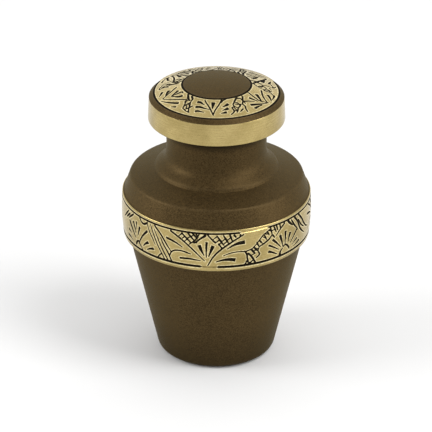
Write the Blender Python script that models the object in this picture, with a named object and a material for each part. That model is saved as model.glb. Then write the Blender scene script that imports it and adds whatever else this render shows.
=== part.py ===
"""A small brass cremation urn with a lift-off lid, turned about the Z axis and standing on its foot.

The urn body is one hollow vessel: a tapering lower wall, a raised band at the widest point, a
shoulder, and a neck that flares where it meets the shoulder. The lid is a second piece: a cap
whose underside takes the neck's rim, with a hollow spigot that drops into the neck's bore.
"""

import math

import bmesh
import bpy

MM = 0.001

# Metal thickness, and the gap between lid and body wherever they meet
WALL = 1.6 * MM
FIT_CLEARANCE = 0.3 * MM

# Lower wall
FOOT_RADIUS = 14.65 * MM
FOOT_ROUNDING = 2.35 * MM
TAPER_HEIGHT = 32.6 * MM
TAPER_TOP_RADIUS = 22.3 * MM

# Raised band with a turned groove inside each edge
BAND_HEIGHT = 11.5 * MM
BAND_STAND_BELOW = 1.2 * MM
BAND_STAND_ABOVE = 0.4 * MM
BAND_BULGE = 0.3 * MM
BAND_RIM_BELOW = 1.15 * MM
BAND_RIM_ABOVE = 0.6 * MM
GROOVE_WIDTH = 0.4 * MM
GROOVE_DEPTH = 0.22 * MM

# Shoulder
BELLY_RADIUS = 23.4 * MM
SHOULDER_RADIUS = 21.8 * MM
SHOULDER_HEIGHT = 4.6 * MM
SHOULDER_ROUNDING = 0.9 * MM
SHOULDER_RISE = 1.9 * MM
RIDGE_STAND = 0.2 * MM
RIDGE_DROP = 0.35 * MM

# Neck
NECK_RADIUS = 12.6 * MM
FLARE_SPREAD = 2.9 * MM
FLARE_HEIGHT = 9.5 * MM
FLARE_POWER = 4
NECK_STRAIGHT = 4.85 * MM

# Lid
LID_OVERHANG = 4.6 * MM
LID_SIDE_HEIGHT = 5.85 * MM
LID_DRAFT = 0.25 * MM
LID_LOWER_ROUNDING = 0.3 * MM
LID_UPPER_ROUNDING = 0.25 * MM
LID_RECESS = 1.7 * MM
LID_TOP_THICKNESS = 1.8 * MM
LID_GROOVE_WIDTH = 0.35 * MM
LID_GROOVE_DEPTH = 0.15 * MM
RING_WIDTH = 1.05 * MM
RING_RISE = 1.0 * MM
CONE_RISE = 2.25 * MM
DISC_RADIUS = 8.4 * MM
DISC_RISE = 0.7 * MM
SPIGOT_LENGTH = 7.0 * MM
SPIGOT_WALL = 1.4 * MM

# Fineness of the turned surfaces
TURN_STEPS = 72
FLARE_STEPS = 7
BAND_STEPS = 4
DISC_STEPS = 2
ROUNDING_STEPS = 3
SHARP_ANGLE = math.radians(28)
SAME_POINT = 0.001 * MM

LACQUER_COLOUR = (0.075, 0.049, 0.021, 1.0)
BRASS_COLOUR = (0.52, 0.40, 0.19, 1.0)


def clear_scene():
    for thing in list(bpy.data.objects):
        bpy.data.objects.remove(thing, do_unlink=True)


def toward(start, end, distance):
    """The point this far from start on the way to end."""
    length = math.dist(start, end)
    share = distance / length
    return (start[0] + (end[0] - start[0]) * share, start[1] + (end[1] - start[1]) * share)


def rounded(before, corner, after, radius, steps=ROUNDING_STEPS):
    """The points of a round that replaces a corner of an outline."""
    into = math.atan2(corner[1] - before[1], corner[0] - before[0])
    out = math.atan2(after[1] - corner[1], after[0] - corner[0])
    turn = math.remainder(out - into, math.tau)
    reach = radius * math.tan(abs(turn) / 2)
    longest = 0.45 * min(math.dist(before, corner), math.dist(corner, after))
    if reach > longest:
        radius *= longest / reach
        reach = longest
    first = toward(corner, before, reach)
    side = math.copysign(math.pi / 2, turn)
    centre_r = first[0] + radius * math.cos(into + side)
    centre_z = first[1] + radius * math.sin(into + side)
    points = []
    for step in range(steps + 1):
        angle = into - side + turn * step / steps
        points.append((centre_r + radius * math.cos(angle), centre_z + radius * math.sin(angle)))
    return points


def distance_to_line(point, line):
    """The shortest distance from a point to a line of points."""
    nearest = math.inf
    for start, end in zip(line, line[1:]):
        along_r = end[0] - start[0]
        along_z = end[1] - start[1]
        share = (point[0] - start[0]) * along_r + (point[1] - start[1]) * along_z
        share = min(1.0, max(0.0, share / (along_r**2 + along_z**2)))
        foot = (start[0] + share * along_r, start[1] + share * along_z)
        nearest = min(nearest, math.dist(point, foot))
    return nearest


def parallel_inside(line, distance):
    """The line this far inside a wall whose outer side runs from top to bottom."""
    shifted = []
    for index, point in enumerate(line):
        before = line[max(index - 1, 0)]
        after = line[min(index + 1, len(line) - 1)]
        headings = []
        if before != point:
            headings.append(math.atan2(point[1] - before[1], point[0] - before[0]))
        if after != point:
            headings.append(math.atan2(after[1] - point[1], after[0] - point[0]))
        turn = math.remainder(headings[-1] - headings[0], math.tau)
        inward = headings[0] + turn / 2 - math.pi / 2
        reach = distance / math.cos(turn / 2)
        moved = (point[0] + reach * math.cos(inward), point[1] + reach * math.sin(inward))
        if distance_to_line(moved, line) > 0.99 * distance:
            shifted.append(moved)
    return thinned(shifted, distance / 3)


def thinned(line, spacing):
    """The line without inner points that crowd the one before them."""
    kept = [line[0]]
    for point in line[1:-1]:
        if math.dist(point, kept[-1]) > spacing and math.dist(point, line[-1]) > spacing:
            kept.append(point)
    kept.append(line[-1])
    return kept


def groove(start, end, depth):
    """A V groove cut between two points of an outline that runs from top to bottom."""
    middle = toward(start, end, math.dist(start, end) / 2)
    heading = math.atan2(end[1] - start[1], end[0] - start[0])
    inward = heading - math.pi / 2
    bottom = (middle[0] + depth * math.cos(inward), middle[1] + depth * math.sin(inward))
    return [start, bottom, end]


def heights():
    """The levels at which the body's parts meet, from the floor up."""
    band_top = TAPER_HEIGHT + BAND_HEIGHT
    shoulder = band_top + SHOULDER_HEIGHT
    ridge = shoulder + SHOULDER_RISE
    flare_bottom = ridge + RIDGE_DROP
    flare_top = flare_bottom + FLARE_HEIGHT
    rim = flare_top + NECK_STRAIGHT
    return band_top, shoulder, ridge, flare_bottom, flare_top, rim


def neck_outline():
    """The neck's outer side, from the rim down to the ridge round its root."""
    _, _, ridge, flare_bottom, flare_top, rim = heights()
    points = [(NECK_RADIUS, rim)]
    for step in range(FLARE_STEPS + 1):
        share = step / FLARE_STEPS
        radius = NECK_RADIUS + FLARE_SPREAD * (1 - math.cos(math.pi * share)) / 2
        points.append((radius, flare_top - (flare_top - flare_bottom) * share ** (1 / FLARE_POWER)))
    points.append((NECK_RADIUS + FLARE_SPREAD + RIDGE_STAND, ridge))
    return points


def wall_corners():
    """The wall's corners below the ridge, before any is rounded or the band is laid on."""
    band_top, shoulder, *_ = heights()
    shoulder_edge = (SHOULDER_RADIUS, shoulder)
    belly = (BELLY_RADIUS, band_top)
    taper_top = (TAPER_TOP_RADIUS, TAPER_HEIGHT)
    foot_corner = (FOOT_RADIUS, 0.0)
    underside_middle = (0.0, 0.0)
    return [shoulder_edge, belly, taper_top, foot_corner, underside_middle]


def band_radius(share):
    """The band's outer radius at this share of its height, measured from its lower edge."""
    below = TAPER_TOP_RADIUS + BAND_STAND_BELOW
    above = BELLY_RADIUS + BAND_STAND_ABOVE
    return below + (above - below) * share + BAND_BULGE * math.sin(math.pi * share)


def band_outline():
    """The raised band from its upper edge down, with a groove inside each rim."""
    def point(height):
        return (band_radius(height / BAND_HEIGHT), TAPER_HEIGHT + height)

    upper = BAND_HEIGHT - BAND_RIM_ABOVE
    lower = BAND_RIM_BELOW
    face_top = upper - GROOVE_WIDTH
    face_bottom = lower + GROOVE_WIDTH
    points = [point(BAND_HEIGHT)]
    points += groove(point(upper), point(face_top), GROOVE_DEPTH)
    for step in range(1, BAND_STEPS):
        points.append(point(face_top + (face_bottom - face_top) * step / BAND_STEPS))
    points += groove(point(face_bottom), point(lower), GROOVE_DEPTH)
    points.append(point(0))
    return points


def body_outline():
    """The body's closed section: up the inside from the floor, over the rim, and down the outside."""
    neck = neck_outline()
    shoulder_edge, belly, taper_top, foot_corner, underside_middle = wall_corners()
    outer = neck + rounded(neck[-1], shoulder_edge, belly, SHOULDER_ROUNDING) + [belly]
    outer += band_outline() + [taper_top]
    outer += rounded(taper_top, foot_corner, underside_middle, FOOT_ROUNDING) + [underside_middle]
    inner = parallel_inside(neck + wall_corners(), WALL)
    return inner[::-1] + outer


def lid_outline():
    """The lid's closed section: out from the middle of its top, down its side, and in under it."""
    rim = heights()[-1]
    seat = rim + FIT_CLEARANCE
    bottom = seat - LID_RECESS
    side_top = bottom + LID_SIDE_HEIGHT
    cone_foot = side_top + RING_RISE
    cone_top = cone_foot + CONE_RISE
    bore = NECK_RADIUS - WALL
    lid_radius = NECK_RADIUS + LID_OVERHANG
    upper_radius = lid_radius - LID_DRAFT
    ring_inside = (upper_radius - RING_WIDTH, cone_foot)
    ring_outside = (upper_radius, side_top)
    disc_edge = (DISC_RADIUS, cone_top)
    recess_radius = NECK_RADIUS + FIT_CLEARANCE
    spigot_radius = bore - FIT_CLEARANCE
    spigot_bore = spigot_radius - SPIGOT_WALL
    spigot_end = seat - SPIGOT_LENGTH
    hollow_top = cone_top - LID_TOP_THICKNESS
    lower_corner = (lid_radius, bottom)

    points = []
    for step in range(DISC_STEPS + 1):
        share = step / DISC_STEPS
        points.append((DISC_RADIUS * share, cone_top + DISC_RISE * (1 - share**2)))
    points += groove(disc_edge, toward(disc_edge, ring_inside, LID_GROOVE_WIDTH), LID_GROOVE_DEPTH)[1:]
    points += groove(toward(ring_inside, disc_edge, LID_GROOVE_WIDTH), ring_inside, LID_GROOVE_DEPTH)
    points += rounded(ring_inside, ring_outside, lower_corner, LID_UPPER_ROUNDING, 1)
    points += rounded(ring_outside, lower_corner, (recess_radius, bottom), LID_LOWER_ROUNDING)
    points += [(recess_radius, bottom), (recess_radius, seat)]
    points += [(spigot_radius, seat), (spigot_radius, spigot_end)]
    points += [(spigot_bore, spigot_end), (spigot_bore, hollow_top), (0.0, hollow_top)]
    return points


def metal(name, colour, roughness):
    material = bpy.data.materials.new(name)
    material.use_nodes = True
    shader = material.node_tree.nodes["Principled BSDF"]
    shader.inputs["Base Color"].default_value = colour
    shader.inputs["Metallic"].default_value = 1.0
    shader.inputs["Roughness"].default_value = roughness
    return material


def turned(name, outline, material):
    """An object made by turning an outline of (radius, height) once about the Z axis."""
    work = bmesh.new()
    points = [work.verts.new((radius, 0.0, height)) for radius, height in outline]
    edges = [work.edges.new(pair) for pair in zip(points, points[1:])]
    bmesh.ops.spin(
        work,
        geom=points + edges,
        cent=(0, 0, 0),
        axis=(0, 0, 1),
        angle=math.tau,
        steps=TURN_STEPS,
    )
    bmesh.ops.remove_doubles(work, verts=work.verts, dist=SAME_POINT)
    bmesh.ops.recalc_face_normals(work, faces=work.faces)
    mesh = bpy.data.meshes.new(name)
    work.to_mesh(mesh)
    work.free()
    mesh.shade_smooth()
    mesh.set_sharp_from_angle(angle=SHARP_ANGLE)
    mesh.materials.append(material)
    piece = bpy.data.objects.new(name, mesh)
    bpy.context.scene.collection.objects.link(piece)
    return piece


def main():
    clear_scene()
    turned("urn_body", body_outline(), metal("bronze_lacquer", LACQUER_COLOUR, 0.38))
    turned("lid", lid_outline(), metal("satin_brass", BRASS_COLOUR, 0.32))


main()
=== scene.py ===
"""Looks of a small brass cremation urn: bronze lacquer, satin brass and hand-engraved bands.

Both CAD nodes are replaced by finely turned meshes of the same form. The engraving is cut into those
meshes as real grooves, and each point keeps its distance from the nearest stroke's edge, from which
the brass material draws the dark filling of the strokes.
"""

import math
import random
from dataclasses import dataclass

import bmesh
import bpy
import numpy as np
from mathutils import Matrix, Vector


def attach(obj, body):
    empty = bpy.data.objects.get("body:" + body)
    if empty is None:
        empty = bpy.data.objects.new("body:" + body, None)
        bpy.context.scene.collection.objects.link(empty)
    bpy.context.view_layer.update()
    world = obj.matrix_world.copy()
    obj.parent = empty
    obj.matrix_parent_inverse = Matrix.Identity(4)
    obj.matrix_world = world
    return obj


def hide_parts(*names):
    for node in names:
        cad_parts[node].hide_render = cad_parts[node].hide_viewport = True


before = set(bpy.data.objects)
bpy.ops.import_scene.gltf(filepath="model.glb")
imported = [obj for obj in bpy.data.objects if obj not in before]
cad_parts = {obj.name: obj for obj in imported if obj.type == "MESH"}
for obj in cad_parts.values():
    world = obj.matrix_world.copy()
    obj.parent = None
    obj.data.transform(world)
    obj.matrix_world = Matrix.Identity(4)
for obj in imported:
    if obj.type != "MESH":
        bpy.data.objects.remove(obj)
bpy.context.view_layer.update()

MM = 0.001

# Sizes of the turned forms, as in the CAD source but for finer roundings and a slightly flatter bulge
WALL = 1.6 * MM
FIT_CLEARANCE = 0.3 * MM
FOOT_RADIUS = 14.65 * MM
FOOT_ROUNDING = 2.35 * MM
TAPER_HEIGHT = 32.6 * MM
TAPER_TOP_RADIUS = 22.3 * MM
BAND_HEIGHT = 11.5 * MM
BAND_STAND_BELOW = 1.2 * MM
BAND_STAND_ABOVE = 0.4 * MM
BAND_BULGE = 0.29 * MM
BAND_RIM_BELOW = 1.15 * MM
BAND_RIM_ABOVE = 0.6 * MM
BAND_ROUNDING_BELOW = 0.4 * MM
BAND_ROUNDING_ABOVE = 0.2 * MM
GROOVE_WIDTH = 0.4 * MM
GROOVE_DEPTH = 0.22 * MM
BELLY_RADIUS = 23.4 * MM
SHOULDER_RADIUS = 21.8 * MM
SHOULDER_HEIGHT = 4.6 * MM
SHOULDER_ROUNDING = 0.9 * MM
SHOULDER_RISE = 1.9 * MM
RIDGE_STAND = 0.2 * MM
RIDGE_DROP = 0.35 * MM
RIDGE_ROUNDING = 0.15 * MM
NECK_RADIUS = 12.6 * MM
FLARE_SPREAD = 2.9 * MM
FLARE_HEIGHT = 9.5 * MM
FLARE_POWER = 4
NECK_STRAIGHT = 4.85 * MM
LID_OVERHANG = 4.6 * MM
LID_SIDE_HEIGHT = 5.85 * MM
LID_DRAFT = 0.25 * MM
LID_LOWER_ROUNDING = 0.3 * MM
LID_UPPER_ROUNDING = 0.25 * MM
LID_RECESS = 1.7 * MM
LID_TOP_THICKNESS = 1.8 * MM
LID_GROOVE_WIDTH = 0.35 * MM
LID_GROOVE_DEPTH = 0.15 * MM
RING_WIDTH = 1.05 * MM
RING_RISE = 1.0 * MM
CONE_RISE = 2.25 * MM
DISC_RADIUS = 8.4 * MM
DISC_RISE = 0.7 * MM
SPIGOT_LENGTH = 7.0 * MM
SPIGOT_WALL = 1.4 * MM

# Levels at which the parts meet, from the floor up
BAND_TOP = TAPER_HEIGHT + BAND_HEIGHT
SHOULDER_LEVEL = BAND_TOP + SHOULDER_HEIGHT
RIDGE_LEVEL = SHOULDER_LEVEL + SHOULDER_RISE
FLARE_BOTTOM = RIDGE_LEVEL + RIDGE_DROP
FLARE_TOP = FLARE_BOTTOM + FLARE_HEIGHT
NECK_RIM = FLARE_TOP + NECK_STRAIGHT
LID_SEAT = NECK_RIM + FIT_CLEARANCE
LID_BOTTOM = LID_SEAT - LID_RECESS

# Fineness of the visible meshes: columns round the axis, and rows along an outline
COLUMNS = 240
BAND_COLUMNS = 960
CONE_COLUMNS = 720
BAND_ROWS = 56
CONE_ROWS = 44
ROUND_STEPS = 8
SMALL_ROUND_STEPS = 4
RIDGE_STEPS = 3
SLOPE_STEPS = 6
FLARE_STEPS = 40
TAPER_STEPS = 12
DISC_STEPS = 12
LID_RING_STEPS = 4
LID_SIDE_STEPS = 8
STROKE_STEPS = 6
SHARP_TURN = math.radians(30)
SAME_POINT = 0.001 * MM

# Outer edges are fully worn and carry painted sheen where they bend by this many radians a millimetre
WEAR_AND_SHEEN_BEND = 3.0
WEAR_AND_SHEEN_REACH = 0.05 * MM

# Engraving: lengths in millimetres, and swells, tails and wedges as shares of a stroke's own size
CUT_DEPTH = 0.13
CUT_SLOPE = 0.6
FAR_FROM_CUT = 0.5
BAND_SWELL = 1.4
LID_SWELL = 1.15
LID_TAIL = 0.7
STROKE_SPREAD = 0.07
SPILL_ABOVE = 0.07
SPILL_BELOW = 0.17
LID_SPILL = 0.13
GROOVE_EDGE_INK = -0.02
GROOVE_BOTTOM_INK = -0.25
WEDGE_WIDTHS = (0.76, 0.64, 0.36)
WEDGE_TIP = 0.11

# The engraver's hand: how far strokes stray and how much their widths vary, how unsteady, and its seeds
HAND_STRAY = 0.1
HAND_PRESSURE = 0.12
BAND_UNSTEADY = 1.0
LID_UNSTEADY = 0.5
BAND_SEEDS_A_MOTIF = 10
LID_FIRST_SEED = 100

# The band's motifs: the first one's azimuth, those the photo shows, millimetres a degree, and their lift
BAND_FIRST = -5.5
BAND_SHOWN = (0, 1, 6)
BAND_SCALE = 0.419
BAND_LIFT = 0.15

# Where a groove's filling is rubbed out, as middle and half width in degrees, and how far and softly
RUBBED_ABOVE = (23.5, 9.5)
RUBBED_BELOW = (-4.3, 5.3)
RUBBED_LID = (180.0, 65.0)
NOT_RUBBED = (0.0, 0.0)
RUBBED_INK = 0.4
RUBBED_FADE = 1.5

LACQUER, BRASS, INSIDE = range(3)

# Metal finishes and the floor, as linear colours
LACQUER_DARK = (0.039, 0.025, 0.0095, 1.0)
LACQUER_LIGHT = (0.095, 0.0617, 0.0242, 1.0)
# Lighter lacquer on sharp edges: partly wear, partly a painted edge highlight
LACQUER_WORN_SHEEN = (0.12, 0.085, 0.042, 1.0)
# Colour of the painted shade below the lid and towards the foot
LACQUER_PAINTED_SHADE = (0.01, 0.007, 0.004, 1.0)
BRASS_DEEP = (0.3, 0.228, 0.082, 1.0)
BRASS_PALE = (0.525, 0.413, 0.177, 1.0)
# Pale brass of the painted glint on the burrs beside the strokes
BRASS_BURR_GLINT = (0.9, 0.78, 0.45, 1.0)
STROKE_FILL = (0.01, 0.008, 0.005, 1.0)
INNER_DULL = (0.3, 0.21, 0.085, 1.0)
INNER_BRIGHT = (0.46, 0.34, 0.14, 1.0)
FLOOR_WHITE = (0.76, 0.76, 0.76, 1.0)

# Sizes of the finishes' grain, and the heights of their relief
FLAKE_SIZE = 0.2 * MM
LACQUER_GRAIN = 0.3 * MM
LACQUER_PEEL = 0.9 * MM
LACQUER_CLOUD = 7 * MM
LACQUER_RELIEF = 0.014 * MM
BRASS_TURNING = 0.22 * MM
BRASS_SPECK = 0.4 * MM
BURR_GLINT_SIZE = 0.7 * MM
BRASS_CLOUD = 5 * MM
BRASS_RELIEF = 0.003 * MM
INNER_TURNING = 0.3 * MM
INNER_CLOUD = 6 * MM
INNER_RELIEF = 0.012 * MM
PAPER_TOOTH = 0.6 * MM
PAPER_RELIEF = 0.02 * MM

# Painted shade on the lacquer and how dark it gets: round the neck below the lid, and towards the foot
SHADE_BEGINS = LID_BOTTOM - 4.2 * MM
SHADE_FULL = LID_BOTTOM - 2.3 * MM
SHADE_ENDS = LID_BOTTOM + 2.0 * MM
SHADE_BELOW_LID = 0.85
FOOT_SHADE_HEIGHT = 14.0 * MM
FOOT_SHADE = 0.4

# Studio: the room's brightness at two values of a direction's Y; each softbox's aim, watts and size
FLOOR_RADIUS = 4.0
FLOOR_SIDES = 64
ROOM_BEFORE = (-0.5, 0.5)
ROOM_BEHIND = (0.9, 1.28)
SOFTBOX_DISTANCE = 1.0
SOFTBOXES = (
    ("softbox_left", (-0.92, -0.12, 0.4), 5.6, 0.5),
    ("softbox_right", (0.9, -0.37, 0.28), 3.9, 0.5),
    ("softbox_above", (0.5, -0.27, 0.82), 4.2, 0.42),
)

# Camera, fitted to the photograph
CAMERA_DISTANCE = 0.863
CAMERA_ELEVATION = math.radians(26.9)
CAMERA_ROLL = math.radians(0.12)
CAMERA_ASIDE = -0.1 * MM
TARGET_HEIGHT = 36.2 * MM
FOCAL_PIXELS = 3400.0
IMAGE_PIXELS = 432.0
SENSOR_WIDTH = 36.0


def toward(start, end, distance):
    """The point this far from start on the way to end."""
    share = distance / math.dist(start, end)
    return (start[0] + (end[0] - start[0]) * share, start[1] + (end[1] - start[1]) * share)


def between(start, end, steps):
    """Evenly spaced points from start to end, both included."""
    length = math.dist(start, end)
    return [start] + [toward(start, end, length * step / steps) for step in range(1, steps)] + [end]


def rounded(before, corner, after, radius, steps=ROUND_STEPS):
    """The points of a round that replaces a corner of an outline."""
    into = math.atan2(corner[1] - before[1], corner[0] - before[0])
    out = math.atan2(after[1] - corner[1], after[0] - corner[0])
    turn = math.remainder(out - into, math.tau)
    reach = radius * math.tan(abs(turn) / 2)
    first = toward(corner, before, reach)
    side = math.copysign(math.pi / 2, turn)
    centre_r = first[0] + radius * math.cos(into + side)
    centre_z = first[1] + radius * math.sin(into + side)
    points = []
    for step in range(steps + 1):
        angle = into - side + turn * step / steps
        points.append((centre_r + radius * math.cos(angle), centre_z + radius * math.sin(angle)))
    return points


def groove(start, end, depth):
    """A V groove cut between two points of an outline that runs from top to bottom."""
    middle = toward(start, end, math.dist(start, end) / 2)
    inward = math.atan2(end[1] - start[1], end[0] - start[0]) - math.pi / 2
    bottom = (middle[0] + depth * math.cos(inward), middle[1] + depth * math.sin(inward))
    return [start, bottom, end]


@dataclass
class Ring:
    """One ring of a turned mesh, and the finish of the faces between it and the next ring."""

    radius: float
    height: float
    columns: int
    finish: int
    ink: float
    engraved: bool = False
    rubbed: tuple = NOT_RUBBED


def add_run(rings, points, finish, columns=COLUMNS, ink=FAR_FROM_CUT, engraved=False):
    """Adds a stretch of outline to a list of rings, sharing the ring where the last stretch ended."""
    for radius, height in points:
        last = rings[-1] if rings else None
        if last and math.dist((last.radius, last.height), (radius, height)) < SAME_POINT:
            last.columns = max(last.columns, columns)
            last.finish = finish
            last.ink = min(last.ink, ink)
            continue
        rings.append(Ring(radius, height, columns if radius > SAME_POINT else 1, finish, ink, engraved))


def band_radius(height):
    """The band's outer radius at this height above its lower edge."""
    share = height / BAND_HEIGHT
    below = TAPER_TOP_RADIUS + BAND_STAND_BELOW
    above = BELLY_RADIUS + BAND_STAND_ABOVE
    return below + (above - below) * share + BAND_BULGE * math.sin(math.pi * share)


def inside_of(node):
    """The inner half of a hollow CAD node's section, from the middle of its floor up to its rim."""
    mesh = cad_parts[node].data
    places = []
    for vertex in mesh.vertices:
        x, y, z = vertex.co
        in_section = abs(y) < SAME_POINT and x > -SAME_POINT
        places.append((round(abs(x), 6), round(z, 6)) if in_section else None)
    links = {}
    for edge in mesh.edges:
        first, second = (places[index] for index in edge.vertices)
        if first and second and first != second:
            links.setdefault(first, []).append(second)
            links.setdefault(second, []).append(first)
    rim = max(height for _, height in links)
    corner = next(place for place in links if abs(place[1] - WALL) < SAME_POINT)
    walk = [(0.0, WALL), corner]
    while walk[-1][1] < rim:
        onward = [place for place in links[walk[-1]] if place not in walk]
        walk.append(onward[0])
    return walk


class Ornament:
    """Strokes cut into a surface, kept as each surface point's distance from the nearest stroke's edge."""

    def __init__(self, across, up, wrap=math.inf):
        self.across = across
        self.up = up
        self.wrap = wrap
        self.distance = np.full(len(across), FAR_FROM_CUT)

    def cut(self, points, widths, blunt):
        """Cuts a curve through these points, as wide as these widths; its start is round or blunt."""
        path = smooth_path(points)
        steps = np.linalg.norm(np.diff(path, axis=0), axis=1)
        along = np.concatenate([[0.0], np.cumsum(steps)]) / steps.sum()
        radii = np.interp(along, np.linspace(0, 1, len(widths)), widths) / 2
        middle = path.mean(axis=0)
        across = self.across - middle[0]
        if math.isfinite(self.wrap):
            across = across - self.wrap * np.round(across / self.wrap)
        up = self.up - middle[1]
        path = path - middle
        reach = radii.max() + FAR_FROM_CUT
        low = path.min(axis=0) - reach
        high = path.max(axis=0) + reach
        near = np.flatnonzero((across > low[0]) & (across < high[0]) & (up > low[1]) & (up < high[1]))
        spots = np.stack([across[near], up[near]], axis=1)
        best = np.full(len(near), FAR_FROM_CUT)
        for start, end, thick, thin in zip(path, path[1:], radii, radii[1:]):
            leg = end - start
            share = np.clip(((spots - start) @ leg) / (leg @ leg), 0, 1)
            gap = np.linalg.norm(spots - start - share[:, None] * leg, axis=1)
            best = np.minimum(best, gap - (thick + (thin - thick) * share))
        if blunt:
            back = path[0] - path[1]
            best = np.maximum(best, (spots - path[0]) @ (back / np.linalg.norm(back)))
        self.distance[near] = np.minimum(self.distance[near], best)


def smooth_path(points):
    """A smooth curve through a few points."""
    known = np.array(points, float)
    padded = np.vstack([2 * known[0] - known[1], known, 2 * known[-1] - known[-2]])
    path = [known[0]]
    for before, start, end, after in zip(padded, padded[1:], padded[2:], padded[3:]):
        for step in range(1, STROKE_STEPS + 1):
            t = step / STROKE_STEPS
            path.append(
                0.5
                * (
                    2 * start
                    + (end - before) * t
                    + (2 * before - 5 * start + 4 * end - after) * t**2
                    + (3 * start - before - 3 * end + after) * t**3
                )
            )
    return np.array(path)


class Graver:
    """Cuts strokes at a place of an ornament, as steadily as a hand does there."""

    def __init__(self, ornament, place, unsteady, seed, swell, tail=0.0):
        self.ornament = ornament
        self.place = place
        self.unsteady = unsteady
        self.hand = random.Random(seed)
        self.swell = swell
        self.tail = tail

    def stroke(self, *points, width, blunt=False):
        """A stroke through these points, with these widths spread from its start to its end."""
        stray = [self.hand.gauss(0, HAND_STRAY * self.unsteady) for _ in range(4)]
        firm = 1 + self.hand.gauss(0, HAND_PRESSURE * self.unsteady)
        moved = []
        for index, (across, up) in enumerate(points):
            share = index / (len(points) - 1)
            across += stray[0] + (stray[1] - stray[0]) * share
            up += stray[2] + (stray[3] - stray[2]) * share
            moved.append(self.place(across, up))
        self.ornament.cut(moved, [(each * self.swell + STROKE_SPREAD) * firm for each in width], blunt)

    def strokes(self, *pairs, width):
        """Straight strokes of the same widths, each given by its start and its end."""
        for start, end in pairs:
            self.stroke(start, end, width=width)

    def wedge(self, *points, width):
        """A stroke pressed in hard at its first point and lifted out at its last, or a tail beyond it."""
        if self.tail:
            end = tuple(far + (far - near) * self.tail for near, far in zip(points[-2], points[-1]))
            points = (*points, end)
        widths = [width * share for share in WEDGE_WIDTHS]
        self.stroke(*points, width=(*widths, WEDGE_TIP), blunt=True)


def leaf_motif(graver):
    """A rounded petal between two long spreading lines, with drops inside and strokes outside."""
    graver.stroke((-9.5, 10.0), (-6.7, 8.4), (-3.8, 6.1), (-0.6, 2.9), width=(0.3, 0.26, 0.24, 0.1))
    graver.stroke(
        (0.05, 1.4), (1.7, 4.4), (3.9, 6.6), (6.5, 8.4), (9.2, 9.95),
        width=(0.14, 0.26, 0.28, 0.18),
    )
    graver.stroke((-0.5, 9.95), (-1.6, 9.15), (-2.9, 7.9), width=(0.42, 0.26, 0.2))
    graver.stroke((-2.6, 7.95), (-3.3, 7.85), width=(0.18, 0.26))
    graver.stroke((0.0, 10.4), (0.85, 9.4), (1.9, 8.35), (2.1, 8.2), width=(0.2, 0.24, 0.3))
    graver.stroke((2.9, 7.8), (3.3, 7.2), (3.7, 6.6), width=(0.28, 0.18, 0.22))
    graver.wedge((-2.0, 7.3), (-1.4, 5.8), (-0.8, 4.5), width=0.8)
    graver.wedge((-0.1, 8.3), (-0.2, 6.0), (-0.2, 4.0), width=0.5)
    graver.wedge((1.5, 7.3), (0.9, 5.7), (0.4, 4.2), width=0.75)
    leaf_hatching(graver)
    graver.stroke((-10.6, 7.85), (-8.3, 7.2), (-6.3, 6.2), width=(0.36, 0.3, 0.1))
    graver.stroke(
        (-9.9, 3.1), (-9.4, 4.1), (-8.5, 4.8), (-6.6, 5.1), (-4.2, 4.6),
        width=(0.2, 0.2, 0.24, 0.22, 0.26, 0.12),
    )
    graver.stroke((-6.9, 3.0), (-4.4, 3.15), (-1.7, 2.95), width=(0.34, 0.3, 0.1))
    graver.wedge((9.5, 7.85), (7.9, 7.7), (6.4, 7.2), (5.0, 6.35), width=0.85)
    graver.stroke((4.1, 4.5), (5.9, 5.15), (7.8, 5.35), (9.5, 5.2), width=(0.1, 0.16, 0.14, 0.2))
    graver.wedge((7.1, 3.1), (5.6, 3.35), (3.9, 3.25), (2.2, 2.7), width=0.85)


def leaf_hatching(graver):
    """The hatched corners on both sides of the petal."""
    graver.strokes(
        ((-6.4, 9.95), (-4.1, 7.8)), ((-5.0, 10.4), (-3.3, 8.5)), ((-3.8, 10.45), (-2.5, 9.1)),
        width=(0.22, 0.3, 0.2),
    )
    graver.stroke((-2.9, 10.5), (-2.3, 9.5), width=(0.2, 0.24))
    graver.stroke((-2.0, 10.2), (-3.0, 8.6), (-4.5, 7.3), width=(0.14, 0.24, 0.12))
    graver.stroke((-6.4, 10.0), (-7.2, 9.2), width=(0.24, 0.12))
    for start in ((-5.6, 9.3), (-4.9, 8.7), (-4.3, 9.4), (-3.5, 9.9)):
        graver.stroke(start, (start[0] - 0.75, start[1] - 0.65), width=(0.1, 0.16, 0.08))
    graver.strokes(
        ((2.5, 9.95), (4.1, 7.5)), ((4.15, 10.0), (5.25, 8.1)), ((5.6, 10.45), (6.2, 8.7)),
        width=(0.2, 0.32, 0.18),
    )
    graver.stroke((6.8, 9.95), (7.15, 9.55), width=(0.3, 0.3))
    graver.stroke((8.45, 10.45), (8.2, 9.6), width=(0.24, 0.14))
    for start in ((2.5, 9.9), (3.1, 9.0), (3.6, 8.3), (4.6, 9.3), (5.0, 8.5), (5.9, 9.5)):
        graver.stroke(start, (start[0] - 0.85, start[1] - 0.75), width=(0.1, 0.17, 0.1))


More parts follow.
